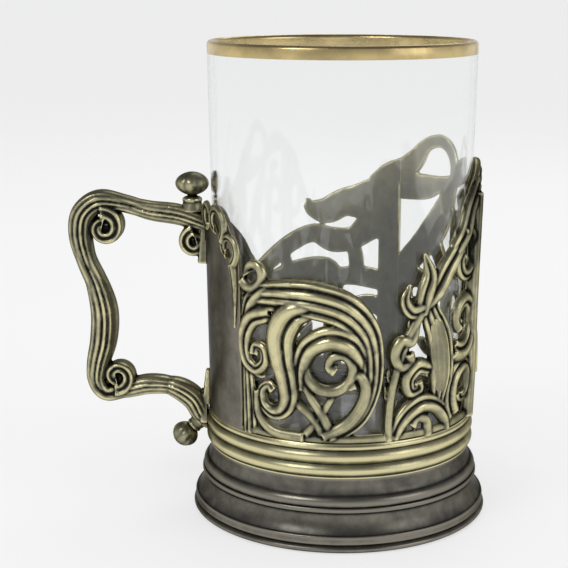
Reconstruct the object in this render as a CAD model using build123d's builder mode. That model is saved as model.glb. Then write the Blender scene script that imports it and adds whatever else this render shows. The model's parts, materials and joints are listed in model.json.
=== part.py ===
# Podstakannik: a footed metal holder with a pierced scrollwork wall and a cast handle,
# and the tea glass that lifts out of it. Millimetres, +Z up, the axis on Z, the foot on
# Z = 0, the handle towards -X and the front scroll towards -Y.
from build123d import *
from math import cos, hypot, radians, sin
import os

# Tea glass
glass_rim_r = 34.0
glass_taper = 1.8
glass_height = 102.5
glass_wall = 1.5
glass_floor = 5.0
glass_heel_bevel = 1.2
glass_floor_bevel = 1.6
glass_lip_flat = 0.8

# Fired gold band on the glass rim
gilt_height = 3.2
gilt_inside = 1.0
gilt_t = 0.15

# Foot, from the ring that it stands on to the flange under the collar
foot_flare = 4.6
foot_ring_height = 2.0
foot_ring_width = 3.4
foot_ring_bevel = 0.6
foot_sheet = 1.2
foot_plinth_height = 2.4
foot_cove_height = 5.2
foot_step_height = 1.2
foot_ovolo_height = 2.6
foot_neck_height = 4.4
foot_lip_set_in = 0.5
foot_cove_set_in = 2.4
foot_step_out = 0.5
foot_ovolo_set_in = 1.3
foot_flange_width = 9.0

# Floor that the glass stands on
floor_t = 1.2
floor_hole_r = 7.0

# Collar with two beads
collar_height = 8.7
bead_height = 3.0
bead_out = 0.8
bead_groove = 0.4
bead_base = 0.2

# Pierced wall: clearance to the glass, sheet, raised relief and the rail at its base
glass_gap = 0.45
wall_t = 1.2
relief_t = 0.9
relief_inset = 1.1
vein_width = 0.9
vein_depth = 0.6
rail_height = 2.2
wall_height = 70.0
pattern_r = 35.0

# Handle castings, measured outwards from the wall's base and up from the collar
handle_width = 6.6
volute_width = 5.2
pad_width = 7.0
pad_t = 3.2
knob_flat_r = 1.2
knob_round = 2.9
knob_neck_r = 2.1
lower_knob_r = 3.2
lower_knob_neck_r = 1.7
rivet_r = 1.2
rivet_head_r = 2.0
rivet_head_t = 0.7
rivet_grip = 2.4
rivet_heights = (2.6, 46.6)

# Angles around the axis, from the front, where one wall casting ends and the next begins
strap_start = -135.0
front_start = -45.0
right_start = 19.0
crest_start = 78.0
rear_start = 150.0
rear_end = 225.0

# Heights and radii that follow from the sizes above
foot_height = (
    foot_ring_height + foot_plinth_height + foot_cove_height + foot_step_height
    + foot_ovolo_height + foot_neck_height
)
seat_z = foot_height + floor_t
collar_top = foot_height + collar_height
rim_z = seat_z + glass_height
glass_base_r = glass_rim_r - glass_taper
glass_slope = glass_taper / glass_height


def glass_r(z):
    """Outer radius of the glass at a height above the table."""
    return glass_base_r + (z - seat_z) * glass_slope


def wall_in(z):
    """Inner radius of the pierced wall, which follows the glass."""
    return glass_r(z) + glass_gap


def wall_out(z):
    """Outer radius of the pierced wall without its relief."""
    return wall_in(z) + wall_t


base_r = wall_out(collar_top)
foot_r = base_r + foot_flare


def radial(angle):
    """Plane through the axis at an angle from the front: x runs outwards, y runs up."""
    a = radians(angle)
    return Plane((0, 0, 0), x_dir=(sin(a), -cos(a), 0), z_dir=(-cos(a), -sin(a), 0))


def facing(angle):
    """Plane through the axis that faces outwards at an angle: x runs round, y is height."""
    a = radians(angle)
    return Plane((0, 0, 0), x_dir=(cos(a), sin(a), 0), z_dir=(sin(a), -cos(a), 0))


def volute(centre, start_r, end_r, start_turn, end_turn, start_w, end_w, ease=1.0):
    """Centre line and widths of a scroll that winds about a centre."""
    steps = max(4, round(abs(end_turn - start_turn) / 40))
    points, widths = [], []
    for i in range(steps + 1):
        t = i / steps
        r = start_r + (end_r - start_r) * t ** ease
        a = radians(start_turn + (end_turn - start_turn) * t)
        points.append((centre[0] + r * cos(a), centre[1] + r * sin(a)))
        widths.append(start_w + (end_w - start_w) * t)
    return points, widths


def stem(start, leave, arrive, end, start_w, end_w):
    """Centre line and widths of a leaf stalk along a cubic curve."""
    steps = 5
    points, widths = [], []
    for i in range(steps + 1):
        t = i / steps
        shares = ((1 - t) ** 3, 3 * t * (1 - t) ** 2, 3 * t * t * (1 - t), t ** 3)
        corners = (start, leave, arrive, end)
        points.append(tuple(sum(s * c[k] for s, c in zip(shares, corners)) for k in (0, 1)))
        widths.append(start_w + (end_w - start_w) * t)
    return points, widths


def leaf(*stations):
    """Centre line and widths of a leaf through a few stations of x, y and width."""
    return [(x, y) for x, y, _ in stations], [width for _, _, width in stations]


def mirrored(fronds, middle, drop):
    """The same fronds turned over about a vertical line and set lower."""
    return [([(2 * middle - x, y - drop) for x, y in points], widths) for points, widths in fronds]


def ghost(first, second, third):
    """The point that would come before three points of a smooth line."""
    return tuple(3 * a - 3 * b + c for a, b, c in zip(first, second, third))


def edges(frond, inset=0.0):
    """The two edges of a frond, point by point."""
    points, widths = frond
    first, last = ghost(*points[:3]), ghost(*points[:-4:-1])
    line = [first, *points, last]
    left, right = [], []
    for i, (x, y) in enumerate(points):
        before, after = line[i], line[i + 2]
        run = hypot(after[0] - before[0], after[1] - before[1])
        across = ((before[1] - after[1]) / run, (after[0] - before[0]) / run)
        half = max(widths[i] - inset, 0.4) / 2
        left.append((x + across[0] * half, y + across[1] * half))
        right.append((x - across[0] * half, y - across[1] * half))
    return left, right


def ribbon(frond, place, inset=0.0):
    """Draw a frond as a closed face, with each point put in the sketch by place."""
    left, right = ([place(p) for p in edge] for edge in edges(frond, inset))
    with BuildLine() as outline:
        Spline(*left)
        Line(left[-1], right[-1])
        Spline(*right[::-1])
        Line(right[0], left[0])
    make_face(outline.edges())


def vein(frond, share=0.5):
    """A fine line along a frond, short of its ends, at a share of its width from one edge."""
    points = []
    for a, b in zip(*edges(frond)):
        points.append((a[0] + (b[0] - a[0]) * share, a[1] + (b[1] - a[1]) * share))
    return points[1:-1], [vein_width] * (len(points) - 2)


def flat_on_wall(middle):
    """Puts a point of the unrolled wall on the plane that faces the casting's middle."""
    return lambda p: (
        wall_in(collar_top) * sin(p[0] / pattern_r - radians(middle)), collar_top + p[1]
    )


def shell(start, end, inside, outside, height):
    """Part of a conical shell that follows the glass, between two offsets from the wall."""
    low, high = collar_top, collar_top + height
    with BuildSketch(radial(start)) as section:
        with BuildLine():
            Polyline(
                (wall_in(low) + inside, low),
                (wall_in(low) + outside, low),
                (wall_in(high) + outside, high),
                (wall_in(high) + inside, high),
                close=True,
            )
        make_face()
    revolve(section.sketch, axis=Axis.Z, revolution_arc=end - start)


def pattern(middle, fronds, inset=0.0):
    """Keep of the shell only what the fronds cover, seen square on at its middle."""
    with BuildSketch(facing(middle)) as drawing:
        for frond in fronds:
            ribbon(frond, flat_on_wall(middle), inset)
    extrude(drawing.sketch, amount=2 * glass_rim_r, mode=Mode.INTERSECT)


def rail(start, end):
    """The strip of wall that stands on the collar."""
    left, right = radians(start) * pattern_r, radians(end) * pattern_r
    third = (right - left) / 3
    level = rail_height / 2
    return stem(
        (left - third, level), (left, level), (right, level), (right + third, level),
        rail_height, rail_height,
    )


def wall_casting(start, end, plain, raised, veins):
    """One pierced casting of the wall: all its fronds, with some raised and grooved."""
    middle = (start + end) / 2
    face = wall_t + relief_t
    with BuildPart() as high:
        shell(start, end, wall_t / 2, face, wall_height)
        pattern(middle, raised, relief_inset)
    with BuildPart() as grooves:
        shell(start, end, face - vein_depth, face + vein_depth, wall_height)
        pattern(middle, veins)
    with BuildPart() as casting:
        shell(start, end, 0, wall_t, wall_height)
        pattern(middle, [rail(start, end)] + plain + raised)
        add(high.part)
        add(grooves.part, mode=Mode.SUBTRACT)
    return casting.part


def applied_leaf(start, end, fronds, thickness):
    """A casting soldered on the outside of the wall."""
    with BuildPart() as casting:
        shell(start, end, wall_t, wall_t + thickness, wall_height)
        pattern((start + end) / 2, fronds)
    return casting.part


def save(part, name):
    part.label = name
    export_step(part, f"parts/{name}.step")


os.makedirs("parts", exist_ok=True)

# Foot ring, the rolled edge that the holder stands on
with BuildPart() as foot_ring:
    with BuildSketch(Plane.XZ):
        with BuildLine():
            Polyline(
                (foot_r - foot_ring_width, foot_ring_height),
                (foot_r - foot_ring_width, 0),
                (foot_r - foot_ring_bevel, 0),
                (foot_r, foot_ring_bevel),
                (foot_r, foot_ring_height - foot_ring_bevel),
                (foot_r - foot_ring_bevel, foot_ring_height),
                close=True,
            )
        make_face()
    revolve(axis=Axis.Z)
save(foot_ring.part, "foot_ring")

# Foot skirt, spun from sheet: plinth, cove, step, ovolo, neck and the flange at its top
plinth_r = foot_r - foot_lip_set_in
cove_r = plinth_r - foot_cove_set_in
step_r = cove_r + foot_step_out
ovolo_r = step_r - foot_ovolo_set_in
neck_r = base_r + bead_base / 2
plinth_z = foot_ring_height + foot_plinth_height
cove_z = plinth_z + foot_cove_height
step_z = cove_z + foot_step_height
ovolo_z = step_z + foot_ovolo_height
with BuildPart() as foot_skirt:
    with BuildSketch(Plane.XZ):
        with BuildLine():
            Polyline(
                (plinth_r - foot_sheet, foot_ring_height),
                (plinth_r, foot_ring_height),
                (plinth_r, plinth_z),
            )
            SagittaArc((plinth_r, plinth_z), (cove_r, cove_z), -foot_step_out)
            Polyline((cove_r, cove_z), (step_r, cove_z), (step_r, step_z))
            SagittaArc((step_r, step_z), (ovolo_r, ovolo_z), foot_step_out)
            SagittaArc((ovolo_r, ovolo_z), (neck_r, foot_height), -foot_step_out)
            Polyline(
                (neck_r, foot_height),
                (neck_r - foot_flange_width, foot_height),
                (neck_r - foot_flange_width, foot_height - foot_sheet),
                (neck_r - foot_sheet, foot_height - foot_sheet),
                (ovolo_r - foot_sheet, ovolo_z),
                (cove_r - foot_sheet, cove_z),
                (plinth_r - foot_sheet, plinth_z),
                (plinth_r - foot_sheet, foot_ring_height),
            )
        make_face()
    revolve(axis=Axis.Z)
save(foot_skirt.part, "foot_skirt")

# Floor disc with its centre hole, lying on the flange inside the collar
with BuildPart() as floor_disc:
    with BuildSketch(Plane.XY.offset(foot_height)):
        Circle(wall_in(seat_z))
        Circle(floor_hole_r, mode=Mode.SUBTRACT)
    extrude(amount=floor_t)
save(floor_disc.part, "floor_disc")

# Collar ring with two beads, around the floor and under the wall
groove_r = base_r + bead_base
bead_r = groove_r + bead_out
lower_bead_z = foot_height + bead_groove
upper_bead_z = lower_bead_z + bead_height + bead_groove
with BuildPart() as collar_ring:
    with BuildSketch(Plane.XZ):
        with BuildLine():
            Line((groove_r, foot_height), (groove_r, lower_bead_z))
            for bead_z in (lower_bead_z, upper_bead_z):
                SagittaArc((groove_r, bead_z), (groove_r, bead_z + bead_height), -bead_out)
            Line((groove_r, lower_bead_z + bead_height), (groove_r, upper_bead_z))
            Polyline(
                (groove_r, upper_bead_z + bead_height),
                (base_r, collar_top),
                (wall_in(collar_top), collar_top),
                (wall_in(seat_z), seat_z),
                (wall_in(seat_z), foot_height),
                (groove_r, foot_height),
            )
        make_face()
    revolve(axis=Axis.Z)
save(collar_ring.part, "collar_ring")

# Scrolls of the wall, drawn on the unrolled wall: x round it at pattern_r, y above the collar
front_plain = [
    leaf((-25.2, 0.5, 5.6), (-25.4, 6.0, 5.2), (-25.8, 13.0, 4.4), (-26.4, 20.0, 3.0)),
    leaf((-22.4, 11.5, 2.2), (-21.6, 5.4, 2.6), (-17.2, 1.8, 2.8), (-9.0, 1.2, 3.0)),
    leaf((-9.8, 17.0, 2.0), (-7.6, 12.0, 2.2), (-4.0, 6.6, 2.6), (-1.4, 1.2, 2.8)),
    leaf((-1.0, 13.0, 2.0), (-3.0, 9.4, 2.0), (-5.6, 5.4, 2.2), (-8.4, 2.0, 2.4)),
    leaf((-4.0, 1.8, 3.0), (2.0, 5.0, 3.4), (5.4, 9.6, 3.4), (6.4, 14.2, 3.0)),
    leaf((-26.0, 29.0, 3.4), (-24.0, 33.6, 4.6), (-20.0, 37.2, 4.6), (-15.4, 39.4, 1.6)),
    volute((-22.3, 20.5), 14.0, 2.0, 80, -270, 4.4, 2.6, 0.5),
    volute((-23.4, 40.6), 4.2, 1.5, -150, 180, 3.0, 2.2),
    volute((4.0, 14.4), 2.5, 1.4, 0, 210, 2.4, 1.8),
]
front_ring = leaf(
    (-10.0, 1.2, 3.0), (-2.0, 2.4, 4.2), (4.4, 6.2, 5.0), (7.8, 12.8, 5.2), (8.4, 20.6, 5.8),
    (6.4, 28.0, 7.4), (1.2, 33.2, 9.0), (-5.8, 35.4, 9.4), (-13.6, 35.8, 8.6), (-20.6, 35.2, 6.8),
    (-26.8, 33.4, 4.0),
)
front_fall = leaf(
    (-7.0, 33.5, 5.0), (-12.0, 31.6, 7.6), (-14.8, 26.6, 8.0), (-14.6, 20.5, 6.8), (-13.4, 15.0, 5.8),
    (-12.0, 11.0, 4.6),
)
front_crown = leaf(
    (-10.0, 13.0, 2.6), (-9.8, 19.0, 4.4), (-7.4, 24.0, 5.8), (-2.4, 26.4, 6.4), (2.6, 25.0, 6.0),
    (5.4, 21.2, 4.2), (6.0, 17.6, 1.6),
)
front_raised = [
    front_ring,
    front_fall,
    front_crown,
    volute((-16.4, 11.6), 4.5, 3.4, 5, -210, 4.4, 2.4),
    volute((-1.4, 18.2), 7.6, 1.3, 160, 520, 2.8, 2.2, 0.6),
]
front_veins = [
    vein(front_ring, 0.3), vein(front_ring, 0.7), vein(front_fall, 0.35), vein(front_fall, 0.7),
    vein(front_crown),
]
right_plain = [
    leaf((12.9, 0.5, 2.4), (12.9, 7.0, 2.3), (14.0, 15.0, 2.3), (16.8, 23.4, 2.4), (21.4, 31.6, 2.8)),
    leaf(
        (14.2, 0.6, 3.2), (16.0, 4.4, 4.4), (19.0, 7.4, 5.0), (23.0, 8.6, 5.2), (27.6, 7.0, 4.8),
        (31.2, 3.6, 4.4), (32.8, 0.6, 3.6),
    ),
    leaf((28.4, 8.0, 5.4), (29.0, 15.0, 8.4), (27.8, 24.0, 8.2), (24.6, 31.0, 6.0), (22.6, 36.0, 3.8)),
    leaf((45.6, 0.5, 4.4), (45.8, 14.0, 4.6), (44.8, 32.0, 4.6), (45.8, 58.0, 4.6)),
    leaf((23.0, 32.6, 4.4), (18.8, 32.0, 4.0), (16.8, 35.0, 2.8), (18.4, 38.8, 1.0)),
    leaf((24.6, 0.6, 3.0), (24.0, 4.0, 2.8), (21.0, 4.8, 2.6), (19.4, 3.0, 2.4)),
    volute((39.2, 42.5), 8.0, 1.8, 110, -200, 5.2, 2.8),
]
right_arm = leaf((22.4, 33.6, 4.2), (26.0, 36.6, 5.6), (29.4, 41.0, 5.8), (34.0, 45.4, 5.2))
right_rise = leaf(
    (33.0, 45.0, 5.0), (37.4, 49.4, 5.6), (40.6, 55.0, 5.2), (46.0, 59.0, 4.6), (50.0, 60.5, 4.6)
)
right_raised = [
    right_arm,
    right_rise,
    leaf((21.4, 31.0, 4.0), (22.6, 36.0, 5.2), (24.0, 40.6, 4.2), (22.4, 46.0, 1.4)),
    volute((17.0, 21.3), 4.3, 1.5, 205, -130, 3.0, 2.2),
    volute((20.0, 13.5), 4.0, 1.5, -60, 230, 3.4, 2.2),
    volute((38.8, 27.0), 8.4, 2.2, -125, 200, 5.2, 3.0),
    volute((39.8, 9.5), 8.0, 2.0, 225, -120, 5.4, 3.0),
]
right_veins = [vein(right_rise)]
crest_plain = [
    leaf((50.0, 0.5, 5.4), (49.6, 18.0, 5.6), (50.8, 36.0, 5.6), (50.0, 59.0, 5.4)),
    leaf((71.0, 0.5, 5.0), (70.4, 12.0, 5.4), (70.6, 26.0, 6.4), (66.4, 38.0, 7.4), (66.0, 54.0, 6.6)),
    leaf((70.0, 28.0, 4.4), (74.0, 34.0, 5.4), (78.6, 41.6, 5.6)),
    leaf((89.4, 0.5, 5.0), (89.6, 12.0, 5.2), (89.2, 22.0, 5.4), (89.4, 32.0, 6.0)),
    leaf((56.0, 53.6, 3.0), (60.0, 54.6, 4.6), (65.4, 52.0, 5.0)),
    leaf((60.0, 27.6, 4.0), (65.0, 30.4, 5.6), (70.0, 29.0, 4.6)),
    leaf((78.0, 25.0, 4.6), (84.0, 29.0, 5.6), (89.0, 27.4, 4.6)),
]
crest_shoulder = leaf((46.6, 58.6, 5.0), (55.0, 61.8, 6.6), (62.0, 61.0, 7.0), (68.4, 58.4, 6.0))
crest_slant = leaf(
    (69.4, 57.0, 5.2), (73.4, 50.6, 7.6), (79.4, 43.6, 8.0), (86.0, 37.0, 7.0), (92.4, 30.4, 6.0)
)
crest_left = volute((61.4, 14.0), 11.4, 2.2, 200, -150, 6.4, 3.2)
crest_right = volute((80.4, 13.4), 10.8, 2.2, -20, 330, 6.2, 3.2)
crest_raised = [
    crest_shoulder,
    crest_slant,
    crest_left,
    crest_right,
    leaf(
        (70.6, 55.0, 4.6), (68.4, 60.0, 4.8), (70.6, 64.8, 4.2), (76.0, 67.4, 3.6), (82.0, 66.6, 3.6),
        (86.2, 62.8, 4.2), (91.8, 58.6, 5.2),
    ),
    leaf((69.0, 57.2, 5.0), (75.6, 57.6, 3.2), (82.0, 56.6, 4.2), (88.0, 56.0, 5.4), (92.4, 55.6, 5.4)),
    volute((58.6, 43.0), 8.6, 2.0, -30, 310, 6.0, 3.0),
]
crest_veins = [vein(crest_slant, 0.35), vein(crest_slant, 0.7), vein(crest_left), vein(crest_right)]
rear_plain = [
    leaf((95.6, 0.5, 4.6), (96.0, 19.0, 4.6), (96.2, 38.0, 4.6), (96.0, 57.0, 4.6)),
    leaf((90.6, 58.4, 4.8), (95.6, 57.0, 5.0), (100.0, 53.8, 4.6)),
    leaf((111.0, 40.0, 4.0), (108.4, 35.4, 4.8), (108.0, 31.0, 4.4)),
    leaf((128.0, 34.0, 3.6), (126.6, 31.0, 3.6), (127.0, 27.6, 3.6)),
    leaf((112.4, 0.5, 5.6), (112.0, 10.0, 5.8), (112.4, 20.0, 6.0), (110.6, 30.0, 5.0)),
    leaf((135.6, 0.5, 5.2), (135.8, 10.0, 5.4), (135.2, 20.0, 5.4), (135.4, 30.0, 5.4)),
]
rear_upper = leaf(
    (94.0, 54.0, 6.0), (99.0, 51.6, 7.6), (104.0, 48.6, 9.4), (109.0, 46.6, 8.2), (114.0, 45.2, 6.6),
    (118.4, 46.6, 5.0), (121.0, 48.4, 1.6),
)
rear_under = leaf(
    (95.0, 40.0, 5.0), (100.4, 41.4, 6.6), (106.0, 39.6, 7.0), (112.0, 39.0, 5.2), (118.0, 39.4, 5.2),
    (124.0, 36.8, 5.4), (130.0, 33.2, 5.6), (138.4, 28.6, 5.0),
)
rear_large = volute((123.0, 12.6), 10.6, 2.2, 160, -190, 6.2, 3.2)
rear_raised = [
    rear_upper,
    rear_under,
    rear_large,
    leaf(
        (94.0, 26.0, 5.0), (101.0, 27.4, 4.6), (108.0, 31.4, 5.0), (115.0, 30.4, 5.6), (123.0, 29.8, 5.4),
        (131.0, 27.0, 6.0), (138.4, 23.0, 6.0),
    ),
    volute((102.4, 12.6), 8.6, 2.0, 150, -190, 5.6, 3.0),
]
rear_veins = [vein(rear_upper), vein(rear_under), vein(rear_large)]
save(wall_casting(front_start, right_start, front_plain, front_raised, front_veins), "front_scroll_panel")
save(wall_casting(right_start, crest_start, right_plain, right_raised, right_veins), "right_leaf_panel")
save(wall_casting(crest_start, rear_start, crest_plain, crest_raised, crest_veins), "crest_panel")
save(wall_casting(rear_start, rear_end, rear_plain, rear_raised, rear_veins), "rear_scroll_panel")

# Smooth oval petal on the right casting
petal_length = 21.0
petal_half_width = 3.2
petal_foot = (28.4, 9.5)
petal_lean = -3.0
petal_t = 1.4


def petal():
    """Centre line and widths of the petal, which swells in its middle."""
    steps = 8
    points, widths = [], []
    for i in range(steps + 1):
        t = i / steps
        points.append((petal_foot[0] + petal_lean * t * t, petal_foot[1] + petal_length * t))
        widths.append(2 * petal_half_width * (4 * t * (1 - t)) ** 0.5)
    return points, widths


save(applied_leaf(right_start, crest_start, [petal()], petal_t), "petal_boss")

# Rivets through the strap into the handle's pads, with countersunk heads inside the wall
with BuildPart() as handle_rivets:
    for height in rivet_heights:
        z = collar_top + height
        face = Plane((-wall_in(z), 0, z), x_dir=(0, 1, 0), z_dir=(-1, 0, 0))
        with BuildSketch(face) as head:
            Circle(rivet_head_r)
        with BuildSketch(face.offset(rivet_head_t)) as neck:
            Circle(rivet_r)
        loft([head.sketch, neck.sketch])
        with BuildSketch(face.offset(rivet_head_t)):
            Circle(rivet_r)
        extrude(amount=wall_t - rivet_head_t + rivet_grip)
save(handle_rivets.part, "handle_rivets")

# Plain strap behind the handle, with a crest at its top
strap_middle = (strap_start + front_start) / 2
strap_shoulder = 44.0
strap_crest = 55.5
strap_dip = 52.0
strap_rear_crest = 43.0
strap_rear_shoulder = 31.0
with BuildPart() as seam_strap:
    shell(strap_start, front_start, 0, wall_t, wall_height)
    place_strap = flat_on_wall(strap_middle)
    strap_half = radians(front_start - strap_middle) * pattern_r
    strap_x = radians(strap_middle) * pattern_r
    reach = strap_half + wall_t
    with BuildSketch(facing(strap_middle)) as strap_face:
        with BuildLine():
            Polyline(
                place_strap((strap_x - reach, strap_rear_shoulder)),
                place_strap((strap_x - reach, 0)),
                place_strap((strap_x + reach, 0)),
                place_strap((strap_x + reach, strap_shoulder)),
            )
            Spline(
                place_strap((strap_x + reach, strap_shoulder)),
                place_strap((strap_x + 0.7 * strap_half, strap_crest)),
                place_strap((strap_x, strap_dip)),
                place_strap((strap_x - 0.7 * strap_half, strap_rear_crest)),
                place_strap((strap_x - reach, strap_rear_shoulder)),
            )
        make_face()
    extrude(strap_face.sketch, amount=2 * glass_rim_r, mode=Mode.INTERSECT)
    add(handle_rivets.part, mode=Mode.SUBTRACT)
save(seam_strap.part, "seam_strap")

# Curled leaf borders on the strap's two top corners
strap_fronds = [
    stem((-29.6, 28.0), (-29.0, 34.0), (-28.9, 38.0), (-29.8, 42.0), 1.2, 2.4),
    volute((-31.8, 45.5), 4.2, 1.4, -60, 250, 2.4, 1.5),
    volute((-37.5, 51.0), 5.0, 1.5, -50, 260, 2.6, 1.6),
    volute((-44.0, 51.0), 4.2, 1.4, 30, 320, 2.4, 1.5),
]
strap_leaf_t = 1.4
strap_rear_fronds = mirrored(strap_fronds, strap_x, strap_shoulder - strap_rear_shoulder)
save(applied_leaf(strap_middle, front_start, strap_fronds, strap_leaf_t), "strap_leaf_front")
save(applied_leaf(strap_start, strap_middle, strap_rear_fronds, strap_leaf_t), "strap_leaf_rear")

# Handle: a cast fluted bar along a curve behind the strap, with a volute in each
# corner and a pad at each end, shaped to the wall and the collar that it is soldered to
handle_line = (
    # outwards, up, thickness of the bar there
    (-6.0, 45.6, 4.2),
    (0.0, 47.6, 4.2),
    (7.6, 50.3, 4.4),
    (15.3, 51.4, 4.4),
    (23.0, 53.4, 4.8),
    (28.6, 53.7, 5.2),
    (32.6, 50.5, 5.6),
    (33.5, 45.0, 5.6),
    (32.2, 38.5, 5.6),
    (29.5, 31.9, 6.0),
    (27.8, 24.5, 6.4),
    (28.2, 17.0, 6.2),
    (29.8, 10.5, 5.6),
    (30.2, 5.6, 5.2),
    (27.8, 2.4, 4.8),
    (23.0, 3.2, 4.6),
    (16.6, 4.8, 4.6),
    (10.0, 4.3, 4.4),
    (4.8, 1.2, 4.2),
    (2.0, -4.0, 3.8),
    (-3.0, -8.0, 3.4),
)
handle_volutes = [
    volute((27.0, 46.8), 4.7, 1.4, 80, 430, 3.4, 2.4),
    volute((24.6, 7.4), 4.0, 1.3, -80, -430, 3.2, 2.2),
    volute((4.0, 43.2), 3.8, 1.2, 80, -250, 2.6, 1.8),
]
handle_pads = [
    stem((1.4, -5.0), (1.2, 0.0), (0.8, 4.0), (0.6, 9.0), pad_t, 1.6),
    stem((1.4, 38.0), (1.2, 42.0), (1.0, 48.0), (1.1, 52.8), pad_t, 1.8),
]


# Half of the bar's cross-section: shares of its half width and half thickness
handle_flutes = ((1.0, 0.0), (0.84, 0.66), (0.5, 1.0), (0.0, 0.72), (-0.5, 1.0), (-0.84, 0.66))


def behind(p):
    """Puts a point measured outwards and up from the wall's base on the handle's plane."""
    return (-(base_r + p[0]), collar_top + p[1])


with BuildPart() as handle_bar:
    stations = [Vector(behind(p)[0], 0, behind(p)[1]) for p in handle_line]
    with BuildLine() as spine:
        Spline(*stations)
    line = spine.edges()[0]
    for station, (_, _, thick) in zip(stations, handle_line):
        at = line.param_at_point(station)
        with BuildSketch(Plane(station, x_dir=(0, 1, 0), z_dir=line % at)):
            half_w, half_t = handle_width / 2, thick / 2
            upper = [(half_w * a, half_t * b) for a, b in handle_flutes]
            with BuildLine():
                Polyline(*upper, *[(-x, -y) for x, y in upper], close=True)
            make_face()
    loft()

# What the handle's ends are shaped to: the collar's beads and the wall above them
with BuildPart() as holder_body:
    with BuildSketch(Plane.XZ):
        with BuildLine():
            Polyline(
                (0, 0),
                (bead_r, 0),
                (bead_r, collar_top),
                (base_r, collar_top),
                (wall_out(rim_z), rim_z),
                (0, rim_z),
                close=True,
            )
        make_face()
    revolve(axis=Axis.Z)

with BuildPart() as handle:
    add(handle_bar.part)
    with BuildSketch(Plane.XZ) as curls:
        for frond in handle_volutes:
            ribbon(frond, behind)
    extrude(curls.sketch, amount=volute_width / 2, both=True)
    with BuildSketch(Plane.XZ) as pads:
        for frond in handle_pads:
            ribbon(frond, behind)
    extrude(pads.sketch, amount=pad_width / 2, both=True)
    add(holder_body.part, mode=Mode.SUBTRACT)
    add(handle_rivets.part, mode=Mode.SUBTRACT)
save(handle.part, "handle")

# Thumb knob on the upper arm: a flattened bud on a neck that is coped to the bar
knob_out = 4.3
knob_up = 58.5
knob_neck = 7.0
with BuildPart() as thumb_knob:
    knob_x, knob_z = behind((knob_out, knob_up))
    knob_axis = Axis((knob_x, 0, knob_z), (0, 0, 1))
    with BuildSketch(Plane((knob_x, 0, knob_z), x_dir=(1, 0, 0), z_dir=(0, -1, 0))):
        with BuildLine():
            Polyline(
                (knob_flat_r, -knob_round), (0, -knob_round), (0, knob_round), (knob_flat_r, knob_round)
            )
            ThreePointArc(
                (knob_flat_r, knob_round), (knob_flat_r + knob_round, 0), (knob_flat_r, -knob_round)
            )
        make_face()
    revolve(axis=knob_axis)
    with BuildSketch(Plane((knob_x, 0, knob_z))):
        Circle(knob_neck_r)
    extrude(amount=-knob_neck)
    add(handle_bar.part, mode=Mode.SUBTRACT)
save(thumb_knob.part, "thumb_knob")

# Lower knob at the side of the handle's tail
lower_knob_out = 7.0
lower_knob_up = -8.9
lower_knob_neck = 5.6
with BuildPart() as lower_knob:
    lower_x, lower_z = behind((lower_knob_out, lower_knob_up))
    with Locations((lower_x, 0, lower_z)):
        Sphere(lower_knob_r)
    with BuildSketch(Plane((lower_x, 0, lower_z), x_dir=(0, 1, 0), z_dir=(1, 0, 1))):
        Circle(lower_knob_neck_r)
    extrude(amount=lower_knob_neck)
    add(handle.part, mode=Mode.SUBTRACT)
save(lower_knob.part, "lower_knob")

# Tea glass: a tapered tumbler with a heavy base, its lip thinned where the gold lies on it
lip_z = rim_z - glass_wall / 2
band_z = rim_z - gilt_height
inner_band_z = rim_z - gilt_inside
lip_r = glass_r(lip_z) - glass_wall / 2
inner_floor_z = seat_z + glass_floor
inner_bevel_z = inner_floor_z + glass_floor_bevel
with BuildPart() as tea_glass:
    with BuildSketch(Plane.XZ):
        with BuildLine():
            Polyline(
                (0, seat_z),
                (glass_r(seat_z) - glass_heel_bevel, seat_z),
                (glass_r(seat_z + glass_heel_bevel), seat_z + glass_heel_bevel),
                (glass_r(band_z), band_z),
                (glass_r(band_z) - gilt_t, band_z),
                (lip_r + glass_wall / 2 - gilt_t, lip_z),
                (lip_r + glass_lip_flat / 2, rim_z - gilt_t),
                (lip_r - glass_lip_flat / 2, rim_z - gilt_t),
                (lip_r - glass_wall / 2 + gilt_t, lip_z),
                (glass_r(inner_band_z) - glass_wall + gilt_t, inner_band_z),
                (glass_r(inner_band_z) - glass_wall, inner_band_z),
                (glass_r(inner_bevel_z) - glass_wall, inner_bevel_z),
                (glass_r(inner_floor_z) - glass_wall - glass_floor_bevel, inner_floor_z),
                (0, inner_floor_z),
                close=True,
            )
        make_face()
    revolve(axis=Axis.Z)
save(tea_glass.part, "tea_glass")

# Gold band folded over the lip
with BuildPart() as gilt_rim:
    with BuildSketch(Plane.XZ):
        with BuildLine():
            Polyline(
                (glass_r(band_z) - gilt_t, band_z),
                (glass_r(band_z), band_z),
                (lip_r + glass_wall / 2, lip_z),
                (lip_r + glass_lip_flat / 2, rim_z),
                (lip_r - glass_lip_flat / 2, rim_z),
                (lip_r - glass_wall / 2, lip_z),
                (glass_r(inner_band_z) - glass_wall, inner_band_z),
                (glass_r(inner_band_z) - glass_wall + gilt_t, inner_band_z),
                (lip_r - glass_wall / 2 + gilt_t, lip_z),
                (lip_r - glass_lip_flat / 2, rim_z - gilt_t),
                (lip_r + glass_lip_flat / 2, rim_z - gilt_t),
                (lip_r + glass_wall / 2 - gilt_t, lip_z),
                close=True,
            )
        make_face()
    revolve(axis=Axis.Z)
save(gilt_rim.part, "gilt_rim")
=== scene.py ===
"""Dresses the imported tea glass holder: cast scrollwork, spun foot, handle, glass and studio."""

import json
from math import ceil, cos, hypot, pi, radians, sin

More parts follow.
